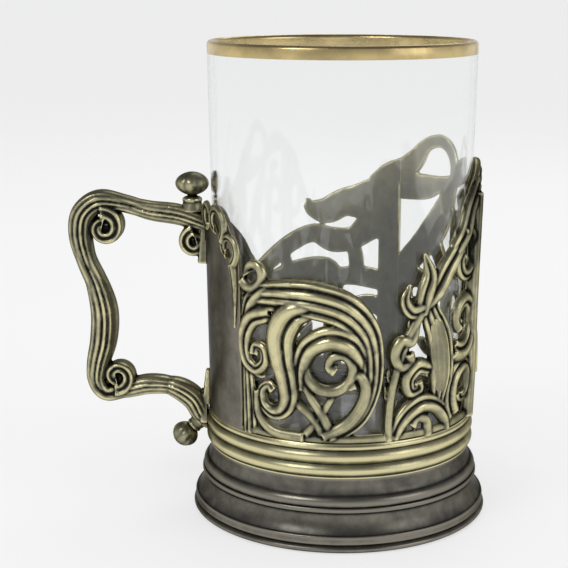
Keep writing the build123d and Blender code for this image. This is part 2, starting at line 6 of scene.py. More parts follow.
import bpy
import numpy as np
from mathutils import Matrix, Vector

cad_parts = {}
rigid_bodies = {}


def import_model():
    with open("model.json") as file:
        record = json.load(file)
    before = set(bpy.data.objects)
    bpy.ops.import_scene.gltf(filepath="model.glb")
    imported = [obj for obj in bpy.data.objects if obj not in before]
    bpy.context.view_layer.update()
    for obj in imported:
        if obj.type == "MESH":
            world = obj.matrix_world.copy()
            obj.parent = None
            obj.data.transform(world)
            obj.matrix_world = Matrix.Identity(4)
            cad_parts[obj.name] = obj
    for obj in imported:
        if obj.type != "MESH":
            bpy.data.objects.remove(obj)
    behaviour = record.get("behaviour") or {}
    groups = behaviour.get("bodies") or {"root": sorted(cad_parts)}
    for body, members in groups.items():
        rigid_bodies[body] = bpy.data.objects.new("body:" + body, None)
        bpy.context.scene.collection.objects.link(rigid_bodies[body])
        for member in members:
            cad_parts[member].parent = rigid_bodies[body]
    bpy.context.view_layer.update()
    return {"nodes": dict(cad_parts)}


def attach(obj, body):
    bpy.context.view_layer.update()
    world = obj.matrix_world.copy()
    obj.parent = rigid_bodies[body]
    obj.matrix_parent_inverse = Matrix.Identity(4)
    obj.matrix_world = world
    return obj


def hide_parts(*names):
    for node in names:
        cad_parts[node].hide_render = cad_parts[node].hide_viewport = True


bl_info = {
    "name": "Tea Glass Holder",
    "version": (1, 0, 0),
    "blender": (4, 5, 0),
    "location": "View3D > Sidebar > Tea Glass",
    "description": "Models a cast brass tea glass holder and its glass around the packed solids",
    "category": "Object",
}

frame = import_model()
bpy.ops.object.select_all(action="DESELECT")

# The drawings of the castings are in millimetres, and the finished pieces in metres
MM = 0.001


class HolderSizes(bpy.types.PropertyGroup):
    """Sizes that the dressed pieces share with the solids."""

    collar_top: bpy.props.FloatProperty(
        name="Collar top", description="Height where the pierced wall begins",
        default=0.0265, unit="LENGTH",
    )
    wall_radius: bpy.props.FloatProperty(
        name="Wall radius", description="Inner radius of the wall at the collar's top",
        default=0.03278, unit="LENGTH",
    )
    wall_flare: bpy.props.FloatProperty(
        name="Wall flare", description="How much the wall's radius grows with height",
        default=0.01756,
    )
    wall_thickness: bpy.props.FloatProperty(
        name="Wall thickness", description="Thickness of the wall under its relief",
        default=0.0012, unit="LENGTH",
    )
    pattern_radius: bpy.props.FloatProperty(
        name="Pattern radius", description="Radius at which the wall's drawings are unrolled",
        default=0.035, unit="LENGTH",
    )
    casting_grain: bpy.props.FloatProperty(
        name="Casting grain", description="Finest detail that the castings keep",
        default=0.00027, unit="LENGTH",
    )
    spin_steps: bpy.props.IntProperty(
        name="Spin steps", description="Steps round a spun piece", default=160, min=24
    )


class HolderFinish(bpy.types.PropertyGroup):
    """Colours of the metal, the glass and the studio."""

    rubbed: bpy.props.FloatVectorProperty(
        name="Rubbed brass", description="Ridges that hands have polished",
        subtype="COLOR", default=(0.72, 0.662, 0.385),
    )
    middle: bpy.props.FloatVectorProperty(
        name="Worn brass", description="Brass between the ridges and the hollows",
        subtype="COLOR", default=(0.27, 0.258, 0.172),
    )
    hollow: bpy.props.FloatVectorProperty(
        name="Patina", description="Dark patina in the hollows",
        subtype="COLOR", default=(0.016, 0.0155, 0.013),
    )
    foot_rubbed: bpy.props.FloatVectorProperty(
        name="Foot edges", description="Rubbed edges of the foot and the strap",
        subtype="COLOR", default=(0.245, 0.228, 0.188),
    )
    foot_middle: bpy.props.FloatVectorProperty(
        name="Foot patina", description="Satin patina of the foot and the strap",
        subtype="COLOR", default=(0.087, 0.083, 0.074),
    )
    gold: bpy.props.FloatVectorProperty(
        name="Fired gold", description="Gold band on the rim",
        subtype="COLOR", default=(0.66, 0.52, 0.25),
    )
    glass: bpy.props.FloatVectorProperty(
        name="Glass", description="Tint of the glass", subtype="COLOR", default=(0.985, 0.992, 0.99),
    )
    floor: bpy.props.FloatVectorProperty(
        name="Floor", description="Pale studio floor", subtype="COLOR", default=(0.88, 0.88, 0.89),
    )


# Selection and mesh helpers
def select_only(*objects):
    bpy.ops.object.select_all(action="DESELECT")
    for item in objects:
        item.select_set(True)
    bpy.context.view_layer.objects.active = objects[0]


def read_points(piece):
    points = np.empty(len(piece.data.vertices) * 3)
    piece.data.vertices.foreach_get("co", points)
    return points.reshape(-1, 3)


def write_points(piece, points):
    piece.data.vertices.foreach_set("co", np.ascontiguousarray(points).ravel())
    piece.data.update()


def apply_modifier(piece, kind, **settings):
    select_only(piece)
    modifier = piece.modifiers.new(kind.lower(), kind)
    for key, value in settings.items():
        setattr(modifier, key, value)
    bpy.ops.object.modifier_apply(modifier=modifier.name)


def joined(name, parts):
    select_only(*parts)
    if len(parts) > 1:
        bpy.ops.object.join()
    piece = bpy.context.object
    piece.name = name
    piece.data.name = name
    return piece


def edit_all(piece):
    select_only(piece)
    bpy.ops.object.mode_set(mode="EDIT")
    bpy.ops.mesh.select_all(action="SELECT")


def cut_off(piece, point, normal):
    """Cuts away what lies beyond a plane and closes the cut."""
    edit_all(piece)
    bpy.ops.mesh.bisect(plane_co=point, plane_no=normal, use_fill=True, clear_outer=True)
    bpy.ops.object.mode_set(mode="OBJECT")


def cast(piece, grain, soften=2):
    """Runs overlapping forms together as one casting, with softened corners."""
    apply_modifier(piece, "REMESH", mode="VOXEL", voxel_size=grain)
    drop_bubbles(piece)
    apply_modifier(piece, "SMOOTH", factor=0.5, iterations=soften)


def drop_bubbles(piece):
    """Deletes the small closed hollows left inside a casting, and keeps its outer skin."""
    edit_all(piece)
    bpy.ops.mesh.select_all(action="DESELECT")
    bpy.ops.object.mode_set(mode="OBJECT")
    piece.data.vertices[int(read_points(piece)[:, 0].argmax())].select = True
    bpy.ops.object.mode_set(mode="EDIT")
    bpy.ops.mesh.select_linked()
    bpy.ops.mesh.select_all(action="INVERT")
    bpy.ops.mesh.delete(type="VERT")
    bpy.ops.object.mode_set(mode="OBJECT")


def mark_wear(piece, reach, passes, lift=0.0):
    """Stores how far each point stands out from its surroundings, for patina and wear."""
    mesh = piece.data
    points = read_points(piece)
    ends = np.empty(len(mesh.edges) * 2, dtype=np.int64)
    mesh.edges.foreach_get("vertices", ends)
    one, other = ends[::2], ends[1::2]
    count = np.maximum(np.bincount(ends, minlength=len(points)), 1)
    soft = points.copy()
    for _ in range(passes):
        total = [
            np.bincount(one, soft[other, k], len(points))
            + np.bincount(other, soft[one, k], len(points))
            for k in range(3)
        ]
        soft = 0.5 * soft + 0.5 * np.stack(total, 1) / count[:, None]
    normals = np.empty(len(points) * 3)
    mesh.vertices.foreach_get("normal", normals)
    stand = ((points - soft) * normals.reshape(-1, 3)).sum(1) / reach + lift
    wear = mesh.attributes.new("wear", "FLOAT", "POINT")
    wear.data.foreach_set("value", np.clip(0.5 + 0.5 * stand, 0, 1))


def finish_piece(piece, body, slot, *nodes, crease=180):
    """Puts a finished piece on its body in place of the solids it stands for."""
    select_only(piece)
    bpy.ops.object.shade_smooth_by_angle(angle=radians(crease))
    piece.data.materials.clear()
    piece.data.materials.append(finishes()[slot])
    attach(piece, body)
    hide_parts(*nodes)
    bpy.ops.object.select_all(action="DESELECT")


# Spun pieces
def bow(start, end, rise, steps=8):
    """Points of an arc between two points that rises to the right of its direction."""
    run = (end[0] - start[0], end[1] - start[1])
    length = hypot(*run)
    across = (run[1] / length, -run[0] / length)
    points = []
    for i in range(1, steps):
        t = i / steps
        out = 4 * rise * t * (1 - t)
        points.append(tuple(start[k] + run[k] * t + across[k] * out for k in (0, 1)))
    return points


def fine(outline, step=0.35):
    """The same closed outline with no run longer than a step."""
    points = []
    for a, b in zip(outline, outline[1:] + outline[:1]):
        count = max(1, ceil(hypot(b[0] - a[0], b[1] - a[1]) / step))
        for k in range(count):
            t = k / count
            points.append((a[0] + (b[0] - a[0]) * t, a[1] + (b[1] - a[1]) * t))
    return points


def spun(name, outline):
    """Spins a closed outline of (radius, height) in millimetres round the axis."""
    bpy.ops.mesh.primitive_circle_add(vertices=len(outline))
    piece = bpy.context.object
    write_points(piece, np.array([(r * MM, 0, z * MM) for r, z in outline]))
    edit_all(piece)
    steps = bpy.context.scene.holder_sizes.spin_steps
    bpy.ops.mesh.spin(steps=steps, angle=2 * pi, center=(0, 0, 0), axis=(0, 0, 1), use_auto_merge=True)
    bpy.ops.mesh.select_all(action="SELECT")
    bpy.ops.mesh.remove_doubles(threshold=1e-7)
    bpy.ops.mesh.normals_make_consistent(inside=False)
    bpy.ops.object.mode_set(mode="OBJECT")
    piece.name = name
    piece.data.name = name
    return piece


# Scrolls: centre lines with widths, in millimetres on the unrolled wall or the handle's plane
def volute(centre, start_r, end_r, start_turn, end_turn, start_w, end_w, eye=0.0):
    """A scroll that winds about a centre, with a swelling at its end where eye is given."""
    steps = max(8, round(abs(end_turn - start_turn) / 11))
    points, widths = [], []
    for i in range(steps + 1):
        t = i / steps
        r = start_r + (end_r - start_r) * t
        a = radians(start_turn + (end_turn - start_turn) * t)
        points.append((centre[0] + r * cos(a), centre[1] + r * sin(a)))
        widths.append(start_w + (end_w - start_w) * t + eye * max(0, 6 * t - 5) ** 2)
    return points, widths


def stem(start, leave, arrive, end, start_w, end_w, belly=0.0):
    """A stalk or leaf along a cubic curve, wider in its middle where belly is given."""
    steps = 16
    points, widths = [], []
    for i in range(steps + 1):
        t = i / steps
        shares = ((1 - t) ** 3, 3 * t * (1 - t) ** 2, 3 * t * t * (1 - t), t ** 3)
        corners = (start, leave, arrive, end)
        points.append(tuple(sum(s * c[k] for s, c in zip(shares, corners)) for k in (0, 1)))
        widths.append(start_w + (end_w - start_w) * t + belly * 4 * t * (1 - t))
    return points, widths


def along(frond, t):
    """Point and direction of a frond at a share of its length."""
    points = frond[0]
    i = min(int(t * (len(points) - 1)), len(points) - 2)
    a, b = points[i], points[i + 1]
    run = hypot(b[0] - a[0], b[1] - a[1])
    return a, ((b[0] - a[0]) / run, (b[1] - a[1]) / run)


# Corners of a lobe's curve: forward along its frond and out from it
LOBE = ((-0.3, 0.0), (0.2, 0.45), (0.7, 0.95), (1.25, 0.8))
LOBE_SHRINK = 0.35
LOBE_BELLY = 0.35
LOBE_TIP = 0.4


def leaflets(frond, side, first, last, count, reach, width):
    """Pointed lobes that leave a frond on one side, one after the other."""
    lobes = []
    for k in range(count):
        p, d = along(frond, first + (last - first) * k / max(count - 1, 1))
        n = (-d[1] * side, d[0] * side)
        size = reach * (1 - LOBE_SHRINK * k / count)
        corners = [
            tuple(p[i] + (d[i] * forward + n[i] * out) * size for i in (0, 1)) for forward, out in LOBE
        ]
        lobes.append(("leaf", stem(*corners, width, LOBE_TIP, LOBE_BELLY * width)))
    return lobes


def through(stations, steps=6):
    """A smooth line through stations of (x, y, width)."""
    s = np.array(stations, float)
    s = np.vstack([2 * s[0] - s[1], s, 2 * s[-1] - s[-2]])
    points, widths = [], []
    for i in range(1, len(s) - 2):
        for k in range(steps + (i == len(s) - 3)):
            t = k / steps
            q = 0.5 * (
                2 * s[i] + (s[i + 1] - s[i - 1]) * t
                + (2 * s[i - 1] - 5 * s[i] + 4 * s[i + 1] - s[i + 2]) * t * t
                + (3 * s[i] - s[i - 1] - 3 * s[i + 1] + s[i + 2]) * t ** 3
            )
            points.append((q[0], q[1]))
            widths.append(q[2])
    return points, widths


def leaf(*stations):
    return "leaf", through(stations)


def rib(*stations):
    return "rib", through(stations)


def broad(*stations):
    return "broad", through(stations)


def mirrored(fronds, middle, drop):
    """The same fronds on the other side of a middle, lower down."""
    return [(kind, ([(2 * middle - x, y - drop) for x, y in f[0]], f[1])) for kind, f in fronds]


# Cross-sections, one unit to each side of the centre line. The round ones are mirrored below it.
SECTIONS = {
    "leaf": [
        (-1, 0), (-1, 0.3), (-0.9, 0.54), (-0.72, 0.68), (-0.5, 0.7), (-0.34, 0.6), (-0.24, 0.56),
        (-0.12, 0.76), (0.06, 0.9), (0.26, 0.94), (0.5, 0.88), (0.74, 0.72), (0.92, 0.5), (1, 0.3),
        (1, 0),
    ],
    "rib": [
        (-1, 0), (-1, 0.5), (-0.84, 0.92), (-0.46, 1.2), (0, 1.3), (0.46, 1.2), (0.84, 0.92), (1, 0.5),
        (1, 0),
    ],
    "broad": [
        (-1, 0), (-1, 0.2), (-0.94, 0.38), (-0.8, 0.48), (-0.64, 0.42), (-0.56, 0.34), (-0.46, 0.5),
        (-0.28, 0.6), (-0.1, 0.54), (-0.02, 0.44), (0.08, 0.56), (0.26, 0.62), (0.44, 0.52),
        (0.54, 0.36), (0.64, 0.44), (0.8, 0.5), (0.94, 0.38), (1, 0.2), (1, 0),
    ],
    "petal": [
        (-1, 0), (-0.96, 0.12), (-0.8, 0.3), (-0.5, 0.44), (0, 0.5), (0.5, 0.44), (0.8, 0.3),
        (0.96, 0.12), (1, 0),
    ],
    "bar": [
        (-1, 0.4), (-0.84, 0.86), (-0.58, 1.12), (-0.3, 1.04), (-0.08, 0.84), (0.1, 0.84), (0.32, 1.04),
        (0.6, 1.12), (0.86, 0.84), (1, 0.38),
    ],
    "sheath": [
        (-1, 0.4), (-0.92, 0.72), (-0.74, 0.98), (-0.56, 0.92), (-0.4, 1.1), (-0.24, 1.12),
        (-0.1, 0.96), (0.08, 1.2), (0.22, 1.2), (0.36, 0.98), (0.56, 1.06), (0.72, 0.9), (0.9, 0.74),
        (1, 0.4),
    ],
    "curl": [
        (-1, 1.3), (-0.8, 1.75), (-0.45, 1.95), (-0.1, 1.6), (0.2, 1.6), (0.55, 1.9), (0.85, 1.7), (1, 1.2),
    ],
    "pad": [(-1, 1.2), (-0.7, 2.0), (0.7, 2.0), (1, 1.2)],
}
ROUND = ("bar", "sheath", "curl", "pad")


def closed_curve(corners):
    """A flat closed line through corners."""
    bpy.ops.curve.primitive_nurbs_circle_add()
    curve = bpy.context.object
    curve.data.dimensions = "2D"
    curve.data.splines.clear()
    line = curve.data.splines.new("POLY")
    line.points.add(len(corners) - 1)
    line.use_cyclic_u = True
    for point, (x, y) in zip(line.points, corners):
        point.co = (x, y, 0, 1)
    return curve


def section_curve(kind):
    """The closed cross-section that a frond is swept with."""
    corners = list(SECTIONS[kind])
    if kind in ROUND:
        corners += [(x, -y) for x, y in reversed(corners)]
    return closed_curve(corners)


def swept(kind, fronds, base=0.0):
    """Sweeps one cross-section along all the fronds of a kind."""
    section = section_curve(kind)
    bpy.ops.curve.primitive_nurbs_path_add()
    lines = bpy.context.object
    data = lines.data
    data.splines.clear()
    data.dimensions = "3D"
    data.twist_mode = "Z_UP"
    data.bevel_mode = "OBJECT"
    data.bevel_object = section
    data.use_fill_caps = True
    for points, widths in fronds:
        line = data.splines.new("POLY")
        line.points.add(len(points) - 1)
        for point, (x, y), width in zip(line.points, points, widths):
            point.co = (x, y, base, 1)
            point.radius = width / 2
    select_only(lines)
    bpy.ops.object.convert(target="MESH")
    bpy.data.objects.remove(section)
    return lines


def scrollwork(name, fronds, base=0.0):
    """One mesh of all the fronds of a casting, still flat and in millimetres."""
    kinds = sorted({kind for kind, _ in fronds})
    return joined(name, [swept(kind, [f for k, f in fronds if k == kind], base) for kind in kinds])


def wrap_on_wall(piece, sizes):
    """Rolls a flat drawing onto the wall's cone."""
    points = read_points(piece)
    angle = points[:, 0] * MM / sizes.pattern_radius
    radius = sizes.wall_radius + (points[:, 1] * sizes.wall_flare + points[:, 2]) * MM
    height = sizes.collar_top + points[:, 1] * MM
    write_points(piece, np.stack([radius * np.sin(angle), -radius * np.cos(angle), height], 1))


def arc_mm(angle, sizes):
    """Place on the unrolled wall of an angle from the front."""
    return radians(angle) * sizes.pattern_radius / MM


# Drawings of the four wall castings: (cross-section, frond)
def front_fronds():
    ring = through([
        (-10.0, 1.2, 3.0), (-2.0, 2.4, 4.2), (4.4, 6.2, 5.0), (7.8, 12.8, 5.2), (8.4, 20.6, 5.8),
        (6.4, 28.0, 7.4), (1.2, 33.2, 9.0), (-5.8, 35.4, 9.4), (-13.6, 35.8, 8.6), (-20.6, 35.2, 6.8),
        (-26.8, 33.4, 4.0),
    ])
    fall = through([
        (-7.0, 33.5, 5.0), (-12.0, 31.6, 7.6), (-14.8, 26.6, 8.0), (-14.6, 20.5, 6.8), (-13.4, 15.0, 5.8),
        (-13.0, 10.6, 5.2), (-14.6, 7.4, 4.4), (-17.6, 6.6, 3.8), (-20.4, 8.4, 3.2), (-21.0, 11.6, 2.6),
        (-19.0, 13.3, 2.3), (-17.4, 12.0, 2.8),
    ])
    crown = through([
        (-10.0, 13.0, 2.6), (-9.8, 19.0, 4.4), (-7.4, 24.0, 5.8), (-2.4, 26.4, 6.4), (2.6, 25.0, 6.0),
        (5.4, 21.2, 4.2), (6.0, 17.6, 1.2),
    ])
    whirl = through([
        (-8.6, 21.0, 1.8), (-8.0, 16.4, 2.6), (-4.9, 13.6, 3.0), (-0.6, 13.4, 3.0), (2.6, 15.9, 2.8),
        (3.2, 19.4, 2.6), (1.2, 21.9, 2.4), (-1.8, 21.5, 2.3), (-2.7, 19.2, 2.3), (-1.0, 18.0, 3.0),
    ])
    sprout = through([
        (-4.0, 1.8, 3.0), (2.0, 5.0, 3.4), (5.6, 9.6, 3.4), (6.6, 14.2, 3.2), (5.0, 17.0, 2.8),
        (2.8, 16.2, 2.4), (3.2, 13.8, 3.0),
    ])
    side = through([
        (-18.0, 31.4, 4.4), (-23.6, 29.4, 5.0), (-26.6, 24.4, 4.2), (-26.2, 18.8, 3.4), (-22.8, 16.6, 3.1),
        (-20.0, 18.8, 2.9), (-20.5, 22.1, 2.6), (-23.0, 22.5, 2.4), (-23.5, 20.4, 3.1),
    ])
    return [
        ("broad", ring),
        ("leaf", fall),
        ("leaf", crown),
        ("rib", whirl),
        ("rib", sprout),
        ("leaf", side),
        leaf((-26.0, 29.0, 3.4), (-24.0, 33.6, 4.6), (-20.0, 37.2, 4.6), (-15.4, 39.4, 1.0)),
        ("rib", volute((-23.4, 40.6), 4.2, 1.3, -150, 200, 3.0, 2.2, eye=1.2)),
        rib((-22.4, 11.5, 2.2), (-21.6, 5.4, 2.6), (-17.2, 1.8, 2.8), (-9.0, 1.2, 3.0)),
        broad((-25.2, 0.0, 5.6), (-25.4, 6.0, 5.2), (-25.8, 13.0, 4.4), (-26.4, 20.0, 3.0)),
        rib((-9.8, 17.0, 1.8), (-7.6, 12.0, 2.2), (-4.0, 6.6, 2.6), (-1.4, 1.2, 2.8)),
        rib((-10.8, 9.4, 2.0), (-7.0, 6.4, 2.3), (-4.0, 2.4, 2.6)),
        rib((-1.0, 13.0, 1.8), (-3.0, 9.4, 2.0), (-5.6, 5.4, 2.2), (-8.4, 2.0, 2.4)),
        *leaflets(fall, -1, 0.06, 0.4, 5, 4.6, 3.0),
        *leaflets(crown, -1, 0.2, 0.62, 4, 2.8, 2.2),
        *leaflets(side, -1, 0.1, 0.5, 3, 2.8, 2.2),
        *leaflets(ring, 1, 0.62, 0.9, 3, 3.2, 2.6),
    ]


def right_fronds():
    twig = through([
        (12.9, 0.0, 2.4), (12.9, 7.0, 2.3), (14.0, 15.0, 2.3), (16.8, 23.4, 2.4), (21.4, 31.6, 2.8),
    ])
    arch = through([
        (14.2, 0.4, 3.2), (16.0, 4.4, 4.4), (19.0, 7.4, 5.0), (23.0, 8.6, 5.2), (27.6, 7.0, 4.8),
        (31.2, 3.6, 4.4), (32.8, 0.0, 3.6),
    ])
    spray = through([
        (28.4, 8.0, 5.4), (29.0, 15.0, 8.4), (27.8, 24.0, 8.2), (24.6, 31.0, 6.0), (22.6, 36.0, 3.8),
    ])
    arm = through([(22.4, 33.4, 4.4), (26.0, 36.6, 5.8), (29.4, 41.0, 5.8), (34.0, 45.4, 5.2)])
    rise = through([
        (33.0, 45.0, 5.0), (37.4, 49.4, 5.6), (40.6, 55.0, 5.2), (46.0, 59.0, 4.6), (50.0, 60.5, 4.6),
    ])
    whirl = volute((38.6, 27.0), 8.6, 2.2, -130, 220, 6.0, 3.0, eye=1.4)
    low = volute((39.8, 9.5), 8.0, 1.8, 225, -140, 5.8, 3.0, eye=1.4)
    return [
        ("rib", twig),
        ("leaf", arch),
        ("broad", spray),
        rib((45.6, 0.0, 4.4), (45.8, 14.0, 4.6), (44.8, 32.0, 4.6), (45.8, 58.0, 4.6)),
        leaf((23.0, 32.6, 4.4), (18.8, 32.0, 4.0), (16.8, 35.0, 2.8), (18.4, 38.8, 0.8)),
        ("leaf", volute((39.2, 42.5), 8.0, 1.6, 110, -220, 5.2, 2.8, eye=1.2)),
        rib(
            (20.4, 29.6, 2.2), (18.8, 24.8, 2.9), (15.6, 24.8, 3.1), (14.0, 21.5, 3.0),
            (15.8, 18.6, 2.8), (18.6, 19.4, 2.6), (17.9, 21.8, 3.2),
        ),
        leaf(
            (24.6, 17.2, 3.6), (20.6, 18.2, 4.6), (17.9, 15.2, 4.0), (18.8, 11.9, 3.4),
            (21.6, 12.2, 2.8), (21.2, 14.2, 3.0),
        ),
        leaf((21.4, 31.0, 4.0), (22.6, 36.0, 5.2), (24.0, 40.6, 4.2), (22.4, 46.0, 0.8)),
        ("leaf", arm),
        ("leaf", rise),
        ("leaf", whirl),
        ("leaf", low),
        rib((24.6, 0.0, 3.0), (24.0, 4.0, 2.8), (21.0, 4.8, 2.6), (19.4, 3.0, 2.8)),
        *leaflets(twig, 1, 0.4, 0.9, 5, 2.4, 1.8),
        *leaflets(twig, -1, 0.3, 0.85, 5, 2.0, 1.6),
        *leaflets(arm, 1, 0.1, 0.8, 4, 3.2, 2.6),
        *leaflets(rise, 1, 0.1, 0.7, 3, 3.0, 2.4),
        *leaflets(whirl, -1, 0.05, 0.5, 5, 3.2, 2.4),
        *leaflets(low, 1, 0.05, 0.5, 5, 3.2, 2.4),
    ]


def crest_fronds():
    loop = through([
        (70.6, 55.0, 4.6), (68.4, 60.0, 4.8), (70.6, 64.8, 4.2), (76.0, 67.4, 3.6), (82.4, 66.0, 4.0),
        (87.2, 61.2, 6.2), (92.2, 57.6, 6.6),
    ])
    bridge = through([
        (69.0, 56.8, 5.0), (75.6, 56.0, 4.4), (82.0, 54.6, 6.8), (88.0, 54.2, 7.4), (92.4, 54.2, 7.4),
    ])
    slant = through([
        (69.2, 57.0, 5.4), (73.0, 50.4, 8.2), (78.4, 43.4, 9.2), (84.8, 36.8, 7.8), (92.0, 30.2, 6.4),
    ])
    left = volute((61.4, 14.0), 11.4, 2.0, 200, -150, 6.4, 3.2, eye=1.4)
    right = volute((80.4, 13.4), 10.8, 2.0, -20, 330, 6.2, 3.2, eye=1.4)
    high = volute((58.6, 43.0), 8.6, 1.7, -30, 310, 6.0, 3.0, eye=1.2)
    return [
        broad((50.0, 0.0, 5.4), (49.6, 18.0, 5.6), (50.8, 36.0, 5.6), (50.0, 59.0, 5.4)),
        broad(
            (71.0, 0.0, 5.0), (70.4, 12.0, 5.4), (70.6, 26.0, 6.4), (66.4, 38.0, 7.4),
            (66.0, 50.0, 6.6),
        ),
        leaf((70.0, 28.0, 4.4), (74.0, 34.0, 5.4), (78.6, 40.6, 5.6)),
        broad((89.4, 0.0, 5.0), (89.6, 12.0, 5.2), (89.2, 22.0, 5.4), (89.4, 32.0, 6.0)),
        broad((46.6, 58.6, 5.0), (55.0, 61.8, 6.6), (62.0, 61.0, 7.0), (68.4, 58.4, 6.0)),
        leaf((56.0, 53.6, 3.0), (60.0, 54.6, 4.6), (64.4, 52.0, 5.0)),
        ("leaf", loop),
        ("leaf", bridge),
        ("broad", slant),
        ("leaf", left),
        ("leaf", right),
        ("leaf", high),
        leaf((60.0, 27.6, 4.0), (65.0, 30.4, 5.6), (70.0, 29.0, 4.6)),
        leaf((78.0, 25.0, 4.6), (84.0, 29.0, 5.6), (89.0, 27.4, 4.6)),
        *leaflets(left, 1, 0.1, 0.5, 4, 3.2, 2.4),
        *leaflets(right, -1, 0.1, 0.5, 4, 3.2, 2.4),
        *leaflets(high, -1, 0.1, 0.5, 4, 3.0, 2.4),
    ]


def rear_fronds():
    upper = through([
        (94.0, 54.0, 6.4), (99.0, 51.4, 9.4), (104.0, 49.2, 9.8), (109.0, 48.6, 8.0),
        (114.0, 46.4, 7.6), (118.4, 47.0, 5.0), (121.0, 48.4, 1.6),
    ])
    under = through([
        (95.0, 41.0, 5.6), (100.4, 42.4, 8.4), (106.0, 38.6, 6.6), (112.0, 38.0, 7.2),
        (118.0, 40.0, 5.4), (124.0, 38.2, 5.4), (130.0, 34.8, 5.6), (138.4, 29.8, 5.0),
    ])
    sill = through([
        (94.0, 26.0, 5.0), (101.0, 27.4, 6.0), (106.0, 27.8, 5.6), (110.4, 27.6, 5.4),
        (115.0, 29.2, 7.8), (123.0, 29.4, 6.4), (131.0, 27.0, 6.2), (138.4, 23.0, 6.0),
    ])
    large = volute((123.0, 12.6), 10.6, 2.0, 160, -190, 6.2, 3.2, eye=3.0)
    small = volute((102.4, 12.6), 8.6, 1.8, 150, -190, 5.6, 3.0, eye=1.4)
    return [
        broad((94.8, 0.0, 7.0), (94.9, 19.0, 7.0), (94.9, 38.0, 6.8), (94.9, 56.6, 6.6)),
        ("broad", upper),
        ("broad", under),
        ("leaf", sill),
        leaf((90.6, 58.8, 6.6), (95.6, 56.8, 6.6), (100.0, 53.8, 5.4)),
        leaf((107.4, 38.6, 4.0), (105.4, 34.0, 4.6), (105.0, 28.6, 4.6)),
        leaf((128.0, 35.4, 3.6), (126.6, 31.4, 3.6), (127.0, 27.6, 3.6)),
        leaf((113.6, 1.8, 3.4), (119.0, 3.2, 4.8), (126.0, 3.4, 4.8), (133.8, 1.8, 3.4)),
        broad((112.4, 0.0, 5.6), (112.0, 10.0, 5.8), (112.4, 20.0, 6.0), (110.6, 30.0, 5.0)),
        broad((135.6, 0.0, 5.2), (135.8, 10.0, 5.4), (135.2, 20.0, 5.4), (135.4, 30.0, 5.4)),
        ("leaf", large),
        ("leaf", small),
        *leaflets(upper, 1, 0.2, 0.9, 4, 2.6, 2.2),
        *leaflets(large, 1, 0.05, 0.5, 5, 3.2, 2.4),
        *leaflets(small, 1, 0.05, 0.5, 4, 3.0, 2.2),
    ]


WALL_CASTINGS = (
    ("front_scroll_panel", front_fronds, -45.0, 19.0),
    ("right_leaf_panel", right_fronds, 19.0, 78.0),
    ("crest_panel", crest_fronds, 78.0, 150.0),
    ("rear_scroll_panel", rear_fronds, 150.0, 225.0),
)

# Wear of the wall's castings by the height of their relief, and of their flat inner faces
RIDGE_WEAR = 0.22
RIDGE_LEVEL = 1.8
INNER_FACE = 0.25
INNER_WEAR = 0.12
# Painted shade on the wall's right shoulder, which darkens its wear there, and where it begins and ends on
# the unrolled wall
SHOULDER_PAINTED_SHADE = 0.5
SHOULDER_LEFT = 33.0
SHOULDER_RIGHT = 64.0
SHOULDER_FOOT = 34.0
# The strip of the wall that stands on the collar
RAIL_LEVEL = 1.0
RAIL_WIDTH = 2.2

# The petal on the right casting, in millimetres on the unrolled wall
PETAL_FOOT = (28.4, 9.5)
PETAL_LEAN = 3.0
PETAL_LENGTH = 21.0
PETAL_WIDTH = 6.4
PETAL_TIP = 0.3
PETAL_STEPS = 12

# The strap in degrees, its top edge as (share of half width, height), and its front leaf border
STRAP_MIDDLE = -90.0
STRAP_HALF = 45.0
STRAP_CREST = (
    (1, 44.0), (0.86, 51.2), (0.68, 55.3), (0.35, 54.0), (0, 52.0), (-0.35, 48.6), (-0.7, 43.0),
    (-0.88, 37.4), (-1, 31.0),
)
REAR_LEAF_DROP = 13.0
STRAP_LEAF_LEVEL = 2.6
STRAP_FRONDS = (
    ("leaf", stem((-29.6, 26.0), (-29.0, 34.0), (-28.9, 38.0), (-29.8, 42.0), 0.8, 2.8)),
    ("leaf", volute((-31.8, 45.5), 4.2, 1.2, -60, 270, 2.6, 1.6, eye=1.2)),
    ("leaf", volute((-37.5, 51.0), 5.0, 1.3, -50, 280, 2.8, 1.7, eye=1.2)),
    ("leaf", volute((-44.0, 51.0), 4.2, 1.2, 30, 340, 2.6, 1.6, eye=1.2)),
)

# Handle, measured in millimetres outwards from the wall's base and up from the collar
WALL_BASE = 33.98
COLLAR_TOP = 26.5
HANDLE_LINE = (
    (-6.0, 45.6, 4.2), (0.0, 47.6, 4.2), (7.6, 50.3, 4.3), (15.3, 51.4, 4.3), (23.0, 53.4, 4.6),
    (28.6, 53.7, 5.0), (32.6, 50.5, 5.2), (33.5, 45.0, 5.2), (32.2, 38.5, 5.2), (29.5, 31.9, 5.6),
    (27.8, 24.5, 6.0), (28.2, 17.0, 5.8), (29.8, 10.5, 5.2), (30.2, 5.6, 4.8), (27.8, 2.4, 4.4),
    (23.0, 3.2, 4.3), (16.6, 4.8, 4.3), (10.0, 4.3, 4.2), (4.8, 1.2, 4.0), (2.0, -4.0, 3.6),
    (-3.0, -8.0, 3.2),
)
# Leaf sheaths: where they begin and end on the bar, and how much wider they are
HANDLE_SHEATHS = (
    (0.16, 0.44, 1.22), (0.4, 0.7, 1.2), (0.72, 0.88, 1.2), (0.04, 0.2, 1.22), (0.82, 0.99, 1.5),
)
SHEATH_TIP = 0.55
HANDLE_EYES = ((27.2, 47.0), (24.6, 7.2), (3.5, 43.3))
# What the wall and the collar take up, with a little room, as (radius, height)
HOLDER_BODY = (
    (5.0, 5.0), (35.0, 5.0), (35.0, COLLAR_TOP), (34.0, COLLAR_TOP), (35.66, 121.0), (5.0, 121.0),
)

